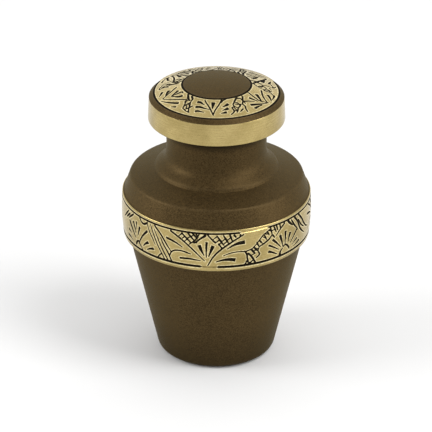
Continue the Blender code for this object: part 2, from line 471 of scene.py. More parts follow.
def sun_motif(graver):
    """A half sun on the lower rim with rays that widen outward."""
    graver.stroke((-1.7, 1.5), (-1.55, 2.5), (-0.9, 3.2), width=(0.52, 0.39, 0.18))
    graver.stroke((-0.6, 3.6), (0.0, 3.95), (0.9, 3.4), (1.7, 2.3), width=(0.21, 0.26, 0.34, 0.26))
    graver.wedge((-5.5, 3.75), (-4.2, 3.1), (-2.7, 2.2), width=0.55)
    graver.wedge((-5.5, 5.5), (-4.0, 4.6), (-2.2, 3.35), width=0.42)
    graver.wedge((-4.3, 6.8), (-3.0, 5.5), (-1.6, 3.9), width=0.52)
    graver.wedge((-1.9, 7.3), (-1.3, 5.5), (-0.8, 3.7), width=0.65)
    graver.wedge((0.05, 7.8), (0.0, 6.0), (-0.05, 4.1), width=0.62)
    graver.wedge((1.9, 6.8), (1.4, 5.6), (1.0, 4.3), width=0.72)
    graver.stroke((4.6, 6.5), (3.2, 5.0), (1.9, 3.7), width=(0.39, 0.34, 0.13))
    graver.wedge((5.0, 3.95), (3.8, 3.5), (2.7, 2.9), width=0.47)
    graver.wedge((6.2, 2.85), (4.8, 2.5), (3.5, 2.2), width=0.52)


def fan_motif(graver):
    """A half fan with a long curved spine and rays to one side."""
    graver.stroke((-1.6, 2.2), (-1.1, 3.0), (-0.3, 3.6), width=(0.44, 0.39, 0.16))
    graver.stroke((-0.2, 2.9), (0.5, 2.3), (1.1, 1.6), width=(0.29, 0.26, 0.16))
    graver.stroke((3.1, 7.5), (1.7, 6.0), (0.5, 4.3), (-0.1, 3.1), width=(0.39, 0.31, 0.26, 0.18))
    graver.wedge((3.6, 4.6), (2.4, 3.8), (1.5, 2.9), width=0.65)
    graver.wedge((5.4, 3.4), (4.1, 3.0), (2.9, 2.3), width=0.59)
    graver.wedge((0.2, 7.7), (-0.2, 6.2), (-0.7, 4.9), width=0.65)
    graver.wedge((-1.2, 8.6), (-1.3, 7.4), (-1.4, 6.3), width=0.44)
    graver.wedge((-2.8, 8.1), (-2.0, 6.6), (-1.6, 5.2), width=0.65)
    graver.stroke((-4.6, 7.3), (-3.2, 5.8), (-1.6, 3.9), width=(0.52, 0.44, 0.16))
    graver.wedge((-5.4, 4.8), (-4.6, 4.7), (-3.8, 4.3), width=0.65)
    graver.wedge((-6.0, 3.1), (-4.6, 2.9), (-3.1, 2.4), width=0.65)
    graver.stroke((0.2, 10.1), (1.1, 9.3), (2.1, 9.2), (3.2, 9.95), width=(0.26, 0.34, 0.34, 0.26))
    graver.strokes(
        ((-5.6, 9.7), (-8.3, 7.1)), ((-4.6, 9.4), (-6.7, 7.6)), ((-2.8, 9.9), (-5.2, 8.0)),
        width=(0.26, 0.34, 0.16),
    )


def hatched_ribbon(graver):
    """A cross-hatched ribbon that climbs from the lower rim to the upper one."""
    graver.stroke(
        (-3.9, 5.2), (-2.2, 5.8), (-0.9, 7.1), (0.5, 8.6), (1.6, 9.3), (2.9, 10.0),
        width=(0.2, 0.14, 0.2, 0.14),
    )
    graver.stroke((-0.5, 5.8), (1.1, 6.5), (2.5, 7.3), (3.3, 8.2), width=(0.2, 0.3, 0.3, 0.2))
    graver.stroke((4.7, 7.6), (5.6, 8.6), (7.4, 10.0), width=(0.16, 0.26, 0.34))
    graver.strokes(
        ((-1.1, 7.1), (-0.6, 6.1)), ((-0.2, 7.4), (0.3, 6.7)), ((1.1, 8.5), (1.6, 7.4)),
        ((1.9, 9.4), (2.4, 8.4)), ((2.9, 10.1), (3.3, 8.4)), ((3.9, 10.3), (4.6, 8.6)),
        ((4.7, 10.4), (5.1, 9.0)), ((5.8, 10.4), (6.0, 9.3)), ((3.5, 8.1), (4.1, 7.2)),
        width=(0.22, 0.3, 0.16),
    )
    graver.strokes(
        ((0.7, 8.2), (1.5, 7.9)), ((1.3, 8.9), (2.1, 8.7)), ((2.2, 9.7), (3.0, 9.3)),
        ((3.2, 9.3), (4.1, 9.4)), width=(0.1, 0.16, 0.1)
    )
    graver.stroke((-4.3, 5.3), (-3.7, 4.2), (-3.6, 3.2), (-3.4, 2.4), width=(0.2, 0.3, 0.24, 0.26))
    graver.stroke((-3.3, 4.5), (-2.3, 3.2), (-1.4, 1.6), width=(0.28, 0.34, 0.26))
    graver.stroke((-0.5, 5.7), (-0.7, 4.6), (-0.3, 3.7), (-1.2, 2.8), width=(0.16, 0.14, 0.3, 0.16))
    graver.stroke((-3.8, 2.4), (-2.9, 1.7), width=(0.2, 0.24))
    graver.stroke((-2.0, 2.4), (-2.9, 1.7), (-3.5, 1.5), width=(0.2, 0.24, 0.1))
    graver.stroke((-4.2, 1.5), (-3.8, 2.1), width=(0.2, 0.2))
    graver.strokes(((-2.5, 5.4), (-1.6, 4.2)), ((-1.9, 6.0), (-1.0, 4.9)), width=(0.3, 0.34, 0.2))
    graver.strokes(
        ((-2.3, 3.9), (-1.4, 4.3)), ((-1.4, 5.0), (-2.2, 4.9)), ((-0.8, 5.4), (-1.5, 5.5)),
        width=(0.12, 0.18, 0.1),
    )


def slanted_lines(graver):
    """Four long slanted lines that part two motifs."""
    graver.stroke((-3.6, 9.6), (-2.8, 7.9), (-1.6, 6.1), (-0.9, 4.8), width=(0.16, 0.2, 0.2, 0.1))
    graver.stroke(
        (-2.5, 9.9), (-1.3, 7.4), (0.0, 4.8), (1.1, 2.9), (1.9, 1.5),
        width=(0.14, 0.22, 0.2, 0.2),
    )
    graver.stroke(
        (-1.2, 9.1), (0.0, 6.9), (0.95, 5.0), (2.0, 3.1), (2.85, 1.6),
        width=(0.12, 0.2, 0.24, 0.22),
    )
    graver.stroke((-1.0, 10.0), (0.9, 8.3), (2.4, 6.3), (3.8, 4.4), width=(0.32, 0.28, 0.28, 0.14))
    graver.stroke((0.9, 7.3), (1.9, 5.4), (2.9, 3.9), (3.9, 1.6), width=(0.16, 0.24, 0.26, 0.24))
    graver.stroke((1.0, 2.9), (0.3, 2.2), (-0.2, 1.5), width=(0.14, 0.22, 0.14))


def long_leaves(graver):
    """Long leaf edges that sweep down from the upper rim."""
    graver.stroke((-4.6, 10.3), (-4.0, 9.5), (-2.8, 8.4), width=(0.47, 0.39, 0.16))
    graver.stroke((-3.2, 9.9), (-2.1, 8.2), (-0.7, 6.6), (-0.7, 6.2), width=(0.26, 0.34, 0.26, 0.13))
    graver.stroke(
        (-1.8, 10.1), (-0.5, 8.4), (0.4, 6.5), (1.6, 5.1), (3.3, 3.8),
        width=(0.39, 0.34, 0.39, 0.26, 0.13),
    )
    graver.stroke(
        (0.0, 10.2), (1.7, 8.3), (2.7, 6.8), (4.3, 5.2), (5.4, 4.7),
        width=(0.34, 0.39, 0.34, 0.16),
    )
    graver.stroke((-0.2, 8.9), (1.2, 6.9), (2.9, 5.6), width=(0.18, 0.29, 0.13))


BAND_PLAN = (
    ((leaf_motif, 0.0), (hatched_ribbon, 0.64)),
    ((sun_motif, 0.0), (long_leaves, 0.26)),
    ((leaf_motif, 0.0), (hatched_ribbon, 0.64)),
    ((sun_motif, 0.0), (long_leaves, 0.26)),
    ((leaf_motif, 0.0), (hatched_ribbon, 0.64)),
    ((sun_motif, 0.0), (long_leaves, 0.26)),
    ((fan_motif, 0.065), (slanted_lines, 0.38)),
)


def rubbed(azimuths, span):
    """Where a groove's filling is rubbed out: 1 within the span, and 0 beyond it."""
    away = np.abs((azimuths - span[0] + 180) % 360 - 180)
    return np.clip((span[1] - away) / RUBBED_FADE, 0, 1)


def ink_band(azimuths, _, heights):
    """The band's engraving: each point's distance from the nearest stroke's edge, in millimetres."""
    ornament = Ornament(azimuths * BAND_SCALE, (heights - TAPER_HEIGHT) / MM, wrap=360.0 * BAND_SCALE)
    below_top = (BAND_HEIGHT - BAND_RIM_ABOVE - GROOVE_WIDTH) / MM - ornament.up
    above_bottom = ornament.up - (BAND_RIM_BELOW + GROOVE_WIDTH) / MM
    edges = ((below_top, SPILL_ABOVE, RUBBED_ABOVE), (above_bottom, SPILL_BELOW, RUBBED_BELOW))
    for gap, spill, span in edges:
        filling = gap - spill + RUBBED_INK * rubbed(azimuths, span)
        ornament.distance = np.minimum(ornament.distance, filling)
    pitch = 360.0 / len(BAND_PLAN)
    for index, cutters in enumerate(BAND_PLAN):
        unsteady = 0.0 if index in BAND_SHOWN else BAND_UNSTEADY
        for number, (cutter, share) in enumerate(cutters):
            axis = (BAND_FIRST + pitch * (index + share)) * BAND_SCALE

            def place(across, up, axis=axis):
                return (axis + across, up + BAND_LIFT)

            seed = BAND_SEEDS_A_MOTIF * index + number
            cutter(Graver(ornament, place, unsteady, seed, BAND_SWELL))
    return ornament.distance


def lid_leaf(graver):
    """A spreading V round one drop, with three wedges on each side."""
    graver.stroke((0.3, 14.4), (-4.2, 12.07), (-12.1, 9.92), (-14.2, 9.35), width=(0.2, 0.26, 0.24, 0.2))
    graver.stroke((0.3, 14.4), (1.6, 12.82), (6.7, 10.65), (11.6, 8.98), width=(0.16, 0.24, 0.26, 0.26))
    graver.stroke((18.3, 8.85), (13.4, 9.28), (10.2, 9.99), width=(0.24, 0.2, 0.14))
    graver.wedge((-1.0, 9.84), (-1.15, 10.6), (-1.3, 11.5), width=1.05)
    graver.wedge((-23.7, 10.4), (-19.2, 10.32), (-15.1, 10.72), width=0.85)
    graver.wedge((-21.8, 12.19), (-17.0, 11.93), (-9.9, 12.21), width=0.85)
    graver.wedge((-19.4, 13.62), (-16.3, 13.38), (-12.4, 13.48), width=0.75)
    graver.wedge((19.5, 10.6), (16.7, 10.94), (13.3, 11.28), width=0.9)
    graver.wedge((17.5, 12.07), (15.2, 12.35), (12.3, 12.56), width=0.95)
    graver.wedge((14.4, 13.43), (11.7, 13.57), (9.6, 13.67), width=0.85)


def lid_leaf_left(graver):
    """A wider leaf, whose V opens towards the left."""
    graver.stroke(
        (-15.4, 10.11), (-7.5, 11.68), (-1.0, 13.76), (0.3, 14.3),
        width=(0.36, 0.34, 0.26, 0.16),
    )
    graver.stroke((23.7, 10.84), (14.5, 11.95), (4.5, 13.66), (0.3, 14.3), width=(0.26, 0.3, 0.24, 0.14))
    graver.wedge((-3.9, 9.93), (-1.1, 10.63), (1.1, 11.6), width=0.85)
    graver.wedge((13.6, 10.11), (12.2, 10.86), (6.7, 11.68), width=0.9)
    graver.stroke((4.0, 9.4), (8.2, 9.5), width=(0.3, 0.2))
    graver.wedge((3.5, 9.65), (3.5, 10.6), (3.2, 11.4), width=0.7)
    graver.wedge((21.6, 12.52), (19.4, 12.98), (9.7, 14.18), width=0.8)
    graver.wedge((24.2, 13.97), (21.4, 14.36), width=0.65)
    graver.wedge((-12.8, 11.89), (-8.7, 12.51), (-5.3, 12.97), width=0.9)
    graver.wedge((-14.5, 13.59), (-10.2, 14.01), (-7.8, 14.41), width=0.75)


def lid_leaf_right(graver):
    """A narrow leaf that leans to the right."""
    graver.stroke((-1.7, 9.22), (-4.4, 11.47), (-4.2, 13.01), (0.3, 14.6), width=(0.34, 0.3, 0.26, 0.16))
    graver.stroke((19.1, 11.25), (8.9, 12.06), (2.7, 13.23), (-0.4, 14.47), width=(0.3, 0.34, 0.28, 0.16))
    graver.wedge((4.5, 10.71), (1.4, 11.57), (-2.0, 12.6), width=0.95)
    graver.wedge((-11.4, 10.43), (-9.7, 11.15), (-8.1, 11.98), width=0.8)
    graver.stroke((-23.6, 10.85), (-17.1, 11.28), (-11.3, 12.14), width=(0.28, 0.3, 0.12))
    graver.wedge((-20.0, 12.61), (-15.1, 13.0), (-7.2, 13.83), width=0.85)
    graver.wedge((-19.7, 14.17), (-15.4, 13.97), (-11.7, 14.05), width=0.7)
    graver.wedge((14.3, 13.01), (11.6, 13.58), (7.7, 14.29), width=0.8)
    graver.wedge((18.2, 14.58), (13.0, 14.67), (10.3, 14.67), width=0.55)


def lid_ribbon(graver):
    """The wavy hatched ribbon that parts two leaves of the lid's engraving."""
    graver.stroke(
        (3.3, 9.35), (-2.6, 10.37), (-5.6, 11.09), (-5.3, 11.82),
        (-8.6, 12.02), (-8.0, 12.96), (-8.7, 13.63), (-12.5, 14.37),
        width=(0.36, 0.3, 0.22, 0.26, 0.22, 0.3, 0.24, 0.2),
    )
    graver.stroke(
        (3.9, 11.47), (0.9, 12.16), (-1.5, 12.45), (-3.9, 13.31), (-5.8, 13.91),
        width=(0.36, 0.3, 0.22, 0.26, 0.16),
    )
    graver.stroke(
        (5.2, 9.2), (10.1, 9.62), (10.6, 10.59), (6.6, 11.51), (7.3, 12.48), (5.6, 13.4), (5.2, 14.41),
        width=(0.4, 0.3, 0.26, 0.24, 0.3, 0.24, 0.2),
    )
    graver.stroke((16.4, 9.29), (11.3, 10.5), (10.6, 11.7), width=(0.36, 0.26, 0.12))
    graver.stroke((2.4, 13.15), (-1.9, 13.86), width=(0.34, 0.14))
    graver.strokes(
        ((-2.5, 11.02), (1.2, 11.45)), ((1.4, 10.58), (3.1, 11.57)), ((-4.8, 11.84), (-2.1, 12.41)),
        width=(0.14, 0.22, 0.14),
    )
    graver.strokes(
        ((-6.0, 12.21), (-4.7, 13.27)), ((-8.2, 13.3), (-3.4, 13.2)), ((-1.6, 10.3), (0.9, 10.9)),
        width=(0.14, 0.2, 0.14),
    )


def lid_ladder(graver):
    """A narrow ribbon of short bars that leans to the right."""
    graver.stroke((-15.5, 9.04), (-6.7, 10.27), (-3.0, 10.59), width=(0.3, 0.5, 0.3))
    graver.stroke((-5.9, 9.22), (-1.1, 9.81), (-0.1, 10.68), width=(0.4, 0.36, 0.22))
    graver.stroke((-9.0, 10.6), (-5.4, 11.6), (-3.4, 12.5), (-1.6, 13.7), width=(0.2, 0.24, 0.24, 0.2))
    graver.stroke((0.4, 11.0), (3.0, 12.2), (4.6, 13.2), (7.2, 14.4), width=(0.2, 0.24, 0.24, 0.2))
    graver.strokes(
        ((-7.0, 11.6), (-5.4, 10.8)), ((-2.3, 12.89), (0.4, 10.95)), ((2.7, 13.5), (6.6, 12.01)),
        width=(0.2, 0.34, 0.2),
    )
    graver.strokes(
        ((-1.1, 13.71), (4.3, 14.27)), ((0.2, 12.51), (2.0, 13.57)), ((0.7, 11.85), (5.3, 12.84)),
        width=(0.16, 0.24, 0.14),
    )
    graver.stroke((5.7, 14.3), (7.8, 14.42), width=(0.3, 0.2))


def lid_veins(graver):
    """Fine strokes that fill the space beside a ribbon."""
    graver.stroke((-0.8, 9.1), (0.5, 11.4), (10.0, 14.3), width=(0.3, 0.26, 0.12))
    graver.stroke((9.3, 9.95), (8.4, 11.3), width=(0.34, 0.14))
    graver.stroke((-12.8, 8.96), (-6.0, 10.2), (-1.9, 11.0), width=(0.28, 0.22, 0.12))
    graver.stroke((-4.8, 13.95), (-11.2, 14.4), (-7.3, 15.1), width=(0.2, 0.26, 0.16))
    graver.wedge((16.5, 9.4), (15.0, 11.0), (16.5, 12.6), width=0.4)


LID_PLAN = (
    (lid_leaf, -3.6),
    (lid_ribbon, 27.0),
    (lid_leaf_right, 61.5),
    (lid_ribbon, 91.0),
    (lid_veins, 108.0),
    (lid_leaf_left, 119.0),
    (lid_ladder, 148.0),
    (lid_veins, 162.0),
    (lid_leaf, 176.0),
    (lid_ribbon, 204.5),
    (lid_veins, 216.0),
    (lid_leaf_right, 233.0),
    (lid_veins, 248.0),
    (lid_ladder, 261.0),
    (lid_leaf_left, 290.2),
    (lid_ladder, 324.0),
)
LID_SHOWN = (0, 1, 2, 14, 15)


def ink_cone(azimuths, radii, _):
    """The lid's engraving: each point's distance from the nearest stroke's edge, in millimetres."""
    angles = np.radians(azimuths)
    ornament = Ornament(radii / MM * np.sin(angles), -radii / MM * np.cos(angles))
    outer_edge = NECK_RADIUS + LID_OVERHANG - LID_DRAFT - RING_WIDTH - LID_GROOVE_WIDTH
    from_disc = (radii - DISC_RADIUS - LID_GROOVE_WIDTH) / MM
    from_ring = (outer_edge - radii) / MM + RUBBED_INK * rubbed(azimuths, RUBBED_LID)
    for gap in (from_disc, from_ring):
        ornament.distance = np.minimum(ornament.distance, gap - LID_SPILL)
    for number, (cutter, axis) in enumerate(LID_PLAN):

        def place(across, up, axis=axis):
            angle = math.radians(axis + across)
            return (up * math.sin(angle), -up * math.cos(angle))

        unsteady = 0.0 if number in LID_SHOWN else LID_UNSTEADY
        seed = LID_FIRST_SEED + number
        cutter(Graver(ornament, place, unsteady, seed, LID_SWELL, LID_TAIL))
    return ornament.distance


def body_rings():
    """The body's rings, up the inside from the floor, over the rim and down the outside."""
    rings = []
    add_run(rings, inside_of("urn_body"), INSIDE)
    flare = []
    for step in range(FLARE_STEPS + 1):
        share = step / FLARE_STEPS
        radius = NECK_RADIUS + FLARE_SPREAD * (1 - math.cos(math.pi * share**FLARE_POWER)) / 2
        flare.append((radius, FLARE_TOP - FLARE_HEIGHT * share))
    root = (NECK_RADIUS + FLARE_SPREAD + RIDGE_STAND, RIDGE_LEVEL)
    edge = (SHOULDER_RADIUS, SHOULDER_LEVEL)
    belly = (BELLY_RADIUS, BAND_TOP)
    add_run(rings, [(NECK_RADIUS, NECK_RIM)] + flare, LACQUER)
    add_run(rings, rounded(flare[-1], root, edge, RIDGE_ROUNDING, RIDGE_STEPS), LACQUER)
    slope_end = rounded(root, edge, belly, SHOULDER_ROUNDING)
    add_run(rings, between(root, slope_end[0], SLOPE_STEPS)[1:] + slope_end[1:], LACQUER)
    add_run(rings, between(slope_end[-1], belly, SLOPE_STEPS), LACQUER)
    add_band(rings, belly)
    taper_top = (TAPER_TOP_RADIUS, TAPER_HEIGHT)
    foot = rounded(taper_top, (FOOT_RADIUS, 0.0), (0.0, 0.0), FOOT_ROUNDING)
    add_run(rings, between(taper_top, foot[0], TAPER_STEPS), LACQUER)
    add_run(rings, foot, LACQUER)
    add_run(rings, [(0.0, 0.0)], LACQUER)
    return rings


def add_band(rings, belly):
    """The bare brass band: its rims, its two dark grooves and the engraved face between them."""
    def point(height):
        return (band_radius(height), TAPER_HEIGHT + height)

    upper = BAND_HEIGHT - BAND_RIM_ABOVE
    face_top = upper - GROOVE_WIDTH
    face_bottom = BAND_RIM_BELOW + GROOVE_WIDTH
    taper_top = (TAPER_TOP_RADIUS, TAPER_HEIGHT)
    crest = rounded(belly, point(BAND_HEIGHT), point(upper), BAND_ROUNDING_ABOVE)
    add_run(rings, crest, BRASS)
    add_dark_groove(rings, point(upper), point(face_top), GROOVE_DEPTH, BAND_COLUMNS, RUBBED_ABOVE)
    rows = [point(face_top + (face_bottom - face_top) * row / BAND_ROWS) for row in range(BAND_ROWS + 1)]
    add_run(rings, rows[:1], BRASS, BAND_COLUMNS)
    add_run(rings, rows[1:-1], BRASS, BAND_COLUMNS, engraved=True)
    lower = point(BAND_RIM_BELOW)
    add_dark_groove(rings, point(face_bottom), lower, GROOVE_DEPTH, BAND_COLUMNS, RUBBED_BELOW)
    add_run(rings, rounded(lower, point(0), taper_top, BAND_ROUNDING_BELOW), BRASS)
    add_run(rings, [taper_top], LACQUER)


def add_dark_groove(rings, start, end, depth, columns, span=NOT_RUBBED):
    """A turned groove that is filled with black up to its edges, but for a rubbed span."""
    inks = (GROOVE_EDGE_INK, GROOVE_BOTTOM_INK, GROOVE_EDGE_INK)
    for point, ink in zip(groove(start, end, depth), inks):
        add_run(rings, [point], BRASS, columns, ink=ink)
        rings[-1].rubbed = span


def lid_rings():
    """The lid's rings, out from the middle of its top, down its side and in under it."""
    side_top = LID_BOTTOM + LID_SIDE_HEIGHT
    cone_foot = side_top + RING_RISE
    cone_top = cone_foot + CONE_RISE
    lid_radius = NECK_RADIUS + LID_OVERHANG
    upper_radius = lid_radius - LID_DRAFT
    ring_inside = (upper_radius - RING_WIDTH, cone_foot)
    ring_outside = (upper_radius, side_top)
    disc_edge = (DISC_RADIUS, cone_top)
    lower_corner = (lid_radius, LID_BOTTOM)
    recess_radius = NECK_RADIUS + FIT_CLEARANCE
    spigot_radius = NECK_RADIUS - WALL - FIT_CLEARANCE
    spigot_bore = spigot_radius - SPIGOT_WALL
    spigot_end = LID_SEAT - SPIGOT_LENGTH
    hollow_top = cone_top - LID_TOP_THICKNESS
    rings = []
    disc = []
    for step in range(DISC_STEPS + 1):
        share = step / DISC_STEPS
        disc.append((DISC_RADIUS * share, cone_top + DISC_RISE * (1 - share**2)))
    add_run(rings, disc, LACQUER)
    cone_start = toward(disc_edge, ring_inside, LID_GROOVE_WIDTH)
    cone_end = toward(ring_inside, disc_edge, LID_GROOVE_WIDTH)
    add_dark_groove(rings, disc_edge, cone_start, LID_GROOVE_DEPTH, CONE_COLUMNS)
    add_run(rings, between(cone_start, cone_end, CONE_ROWS)[1:-1], BRASS, CONE_COLUMNS, engraved=True)
    add_dark_groove(rings, cone_end, ring_inside, LID_GROOVE_DEPTH, CONE_COLUMNS, RUBBED_LID)
    shoulder = rounded(ring_inside, ring_outside, lower_corner, LID_UPPER_ROUNDING, SMALL_ROUND_STEPS)
    half = SMALL_ROUND_STEPS // 2
    add_run(rings, between(ring_inside, shoulder[0], LID_RING_STEPS), LACQUER)
    add_run(rings, shoulder[: half + 1], LACQUER)
    add_run(rings, shoulder[half:], BRASS)
    skirt = rounded(ring_outside, lower_corner, (recess_radius, LID_BOTTOM), LID_LOWER_ROUNDING)
    add_run(rings, between(shoulder[-1], skirt[0], LID_SIDE_STEPS) + skirt[1:], BRASS)
    recess = [(recess_radius, LID_BOTTOM), (recess_radius, LID_SEAT), (spigot_radius, LID_SEAT)]
    spigot = [(spigot_radius, spigot_end), (spigot_bore, spigot_end)]
    hollow = [(spigot_bore, hollow_top), (0.0, hollow_top)]
    add_run(rings, recess + spigot + hollow, INSIDE)
    return rings


def turned(name, rings, ink_of):
    """A piece made of these rings, with the strokes that ink_of gives cut into the engraved ones."""
    counts = np.array([ring.columns for ring in rings])
    starts = np.concatenate([[0], np.cumsum(counts)])
    azimuth = np.concatenate([np.arange(count) * 360.0 / count - 180.0 for count in counts])
    radius = np.repeat([ring.radius for ring in rings], counts)
    height = np.repeat([ring.height for ring in rings], counts)
    ink = np.repeat([ring.ink for ring in rings], counts)
    cut = np.repeat([ring.engraved for ring in rings], counts)
    outline = np.array([(ring.radius, ring.height) for ring in rings])
    heading = np.gradient(outline, axis=0)
    heading /= np.linalg.norm(heading, axis=1)[:, None]
    outward = np.repeat(np.stack([-heading[:, 1], heading[:, 0]], axis=1), counts, axis=0)
    ink[cut] = np.minimum(ink[cut], ink_of(azimuth[cut], radius[cut], height[cut]))
    spans = np.repeat([ring.rubbed for ring in rings], counts, axis=0)
    ink += RUBBED_INK * rubbed(azimuth, spans.T)
    depth = np.where(cut, np.clip(-ink * CUT_SLOPE, 0, CUT_DEPTH), 0) * MM
    radius = radius - depth * outward[:, 0]
    height = height - depth * outward[:, 1]
    angle = np.radians(azimuth)
    points = np.stack([radius * np.sin(angle), -radius * np.cos(angle), height], axis=1)
    faces, finishes = ring_faces(rings, starts)
    mesh = bpy.data.meshes.new(name)
    mesh.from_pydata(points.tolist(), [], faces)
    mesh.polygons.foreach_set("material_index", np.array(finishes, np.int32))
    mesh.attributes.new("ink", "FLOAT", "POINT").data.foreach_set("value", ink.astype(np.float32))
    wear_and_sheen = np.repeat(edge_wear_and_sheen(outline), counts)
    mesh.attributes.new("wear_and_sheen", "FLOAT", "POINT").data.foreach_set("value", wear_and_sheen.astype(np.float32))
    mesh.shade_smooth()
    mark_sharp_rings(mesh, outline, counts)
    piece = bpy.data.objects.new(name, mesh)
    bpy.context.scene.collection.objects.link(piece)
    return piece


def turns_of(outline):
    """How far the outline turns at each of its inner points, in radians, left turns positive."""
    steps = np.diff(outline, axis=0)
    headings = np.arctan2(steps[:, 1], steps[:, 0])
    return (np.diff(headings) + math.pi) % math.tau - math.pi


def edge_wear_and_sheen(outline):
    """How much an outline's outer edges are worn and carry painted sheen, from 0 where it is flat to 1
    where it is sharpest.
    """
    steps = np.linalg.norm(np.diff(outline, axis=0), axis=1)
    reach = np.maximum((steps[1:] + steps[:-1]) / 2, WEAR_AND_SHEEN_REACH)
    bend = np.clip(-turns_of(outline) / (reach / MM) / WEAR_AND_SHEEN_BEND, 0, 1)
    return np.concatenate([[0.0], bend, [0.0]])


def ring_faces(rings, starts):
    """The faces between each two rings, also where one ring has more columns than the other."""
    faces = []
    finishes = []
    for index, (upper, lower) in enumerate(zip(rings, rings[1:])):
        a = int(starts[index])
        b = int(starts[index + 1])
        few = min(upper.columns, lower.columns)
        many = max(upper.columns, lower.columns)
        if few == 1:
            few = many
        for column in range(few):
            over = arc_of(a, upper.columns, column, few)
            under = arc_of(b, lower.columns, column, few)
            faces.append(over[:1] + under + over[:0:-1])
        finishes += [upper.finish] * few
    return faces, finishes


def arc_of(start, columns, column, parts):
    """A ring's vertices along one of its equal parts."""
    if columns == 1:
        return [start]
    share = columns // parts
    return [start + (column * share + step) % columns for step in range(share + 1)]


def mark_sharp_rings(mesh, outline, counts):
    """Marks the rings where the outline turns sharply, so that smooth shading stops there."""
    sharp = np.concatenate([[False], np.abs(turns_of(outline)) > SHARP_TURN, [False]])
    ring_of = np.repeat(np.arange(len(counts)), counts)
    ends = np.zeros(len(mesh.edges) * 2, np.int32)
    mesh.edges.foreach_get("vertices", ends)
    ends = ring_of[ends.reshape(-1, 2)]
    flags = (ends[:, 0] == ends[:, 1]) & sharp[ends[:, 0]]
    mesh.attributes.new("sharp_edge", "BOOLEAN", "EDGE").data.foreach_set("value", flags)


class Finish:
    """A metal finish built from nodes, with sizes in metres on the object itself."""

    def __init__(self, name):
        self.material = bpy.data.materials.new(name)
        self.material.use_nodes = True
        self.tree = self.material.node_tree
        self.shader = self.tree.nodes["Principled BSDF"]
        self.place = self.node("TexCoord").outputs["Object"]

    def node(self, kind, inputs=(), **settings):
        """A new node with these settings, and these values or sockets for its inputs."""
        made = self.tree.nodes.new("ShaderNode" + kind)
        for name, value in settings.items():
            setattr(made, name, value)
        for name, value in dict(inputs).items():
            self.feed(made.inputs[name], value)
        return made

    def feed(self, socket, value):
        if isinstance(value, bpy.types.NodeSocket):
            self.tree.links.new(value, socket)
        else:
            socket.default_value = value

    def noise(self, size, detail=2.0):
        """Soft noise from 0 to 1 with spots of about this size."""
        inputs = {"Vector": self.place, "Scale": 1 / size, "Detail": detail}
        return self.node("TexNoise", inputs).outputs[0]

    def flakes(self, size):
        """A value from 0 to 1 for each flake of about this size."""
        cells = self.node("TexVoronoi", {"Vector": self.place, "Scale": 1 / size})
        return self.node("SeparateColor", {"Color": cells.outputs["Color"]}).outputs[0]

    def turning(self, pitch):
        """The fine rings that a turning tool leaves, this far apart on walls and tops alike."""
        parts = self.node("SeparateXYZ", {"Vector": self.place}).outputs
        level = self.node("CombineXYZ", {"X": parts["X"], "Y": parts["Y"]}).outputs[0]
        radius = self.node("VectorMath", {0: level}, operation="LENGTH").outputs["Value"]
        along = self.math("SUBTRACT", parts["Z"], radius)
        inputs = {"W": self.math("MULTIPLY", along, 1 / pitch), "Scale": 1.0, "Detail": 3.0}
        return self.node("TexNoise", inputs, noise_dimensions="1D").outputs[0]

    def attribute(self, name):
        return self.node("Attribute", attribute_name=name).outputs["Fac"]

    def math(self, operation, *values):
        return self.node("Math", enumerate(values), operation=operation).outputs[0]

    def total(self, *weighted):
        """The sum of (socket, weight) pairs."""
        result = 0.0
        for socket, weight in weighted:
            result = self.math("MULTIPLY_ADD", socket, weight, result)
        return result

    def spread(self, value, low, high, to_low=0.0, to_high=1.0):
        """The value's share of the way from low to high, as a share of the way from to_low to to_high."""
        inputs = {"Value": value, "From Min": low, "From Max": high, "To Min": to_low, "To Max": to_high}
        return self.node("MapRange", inputs).outputs[0]

    def blend(self, share, first, second):
        """The first colour, turning into the second as the share rises."""
        return self.node("Mix", {0: share, 6: first, 7: second}, data_type="RGBA").outputs[2]

    def bump(self, height, depth, strength=1.0):
        """Relief on the surface: this height times this depth."""
        bump = self.node("Bump", {"Strength": strength, "Distance": depth, "Height": height})
        self.feed(self.shader.inputs["Normal"], bump.outputs["Normal"])

    def set(self, **values):
        """Feeds the shader's inputs, named with underscores for spaces."""
        for name, value in values.items():
            self.feed(self.shader.inputs[name.replace("_", " ")], value)


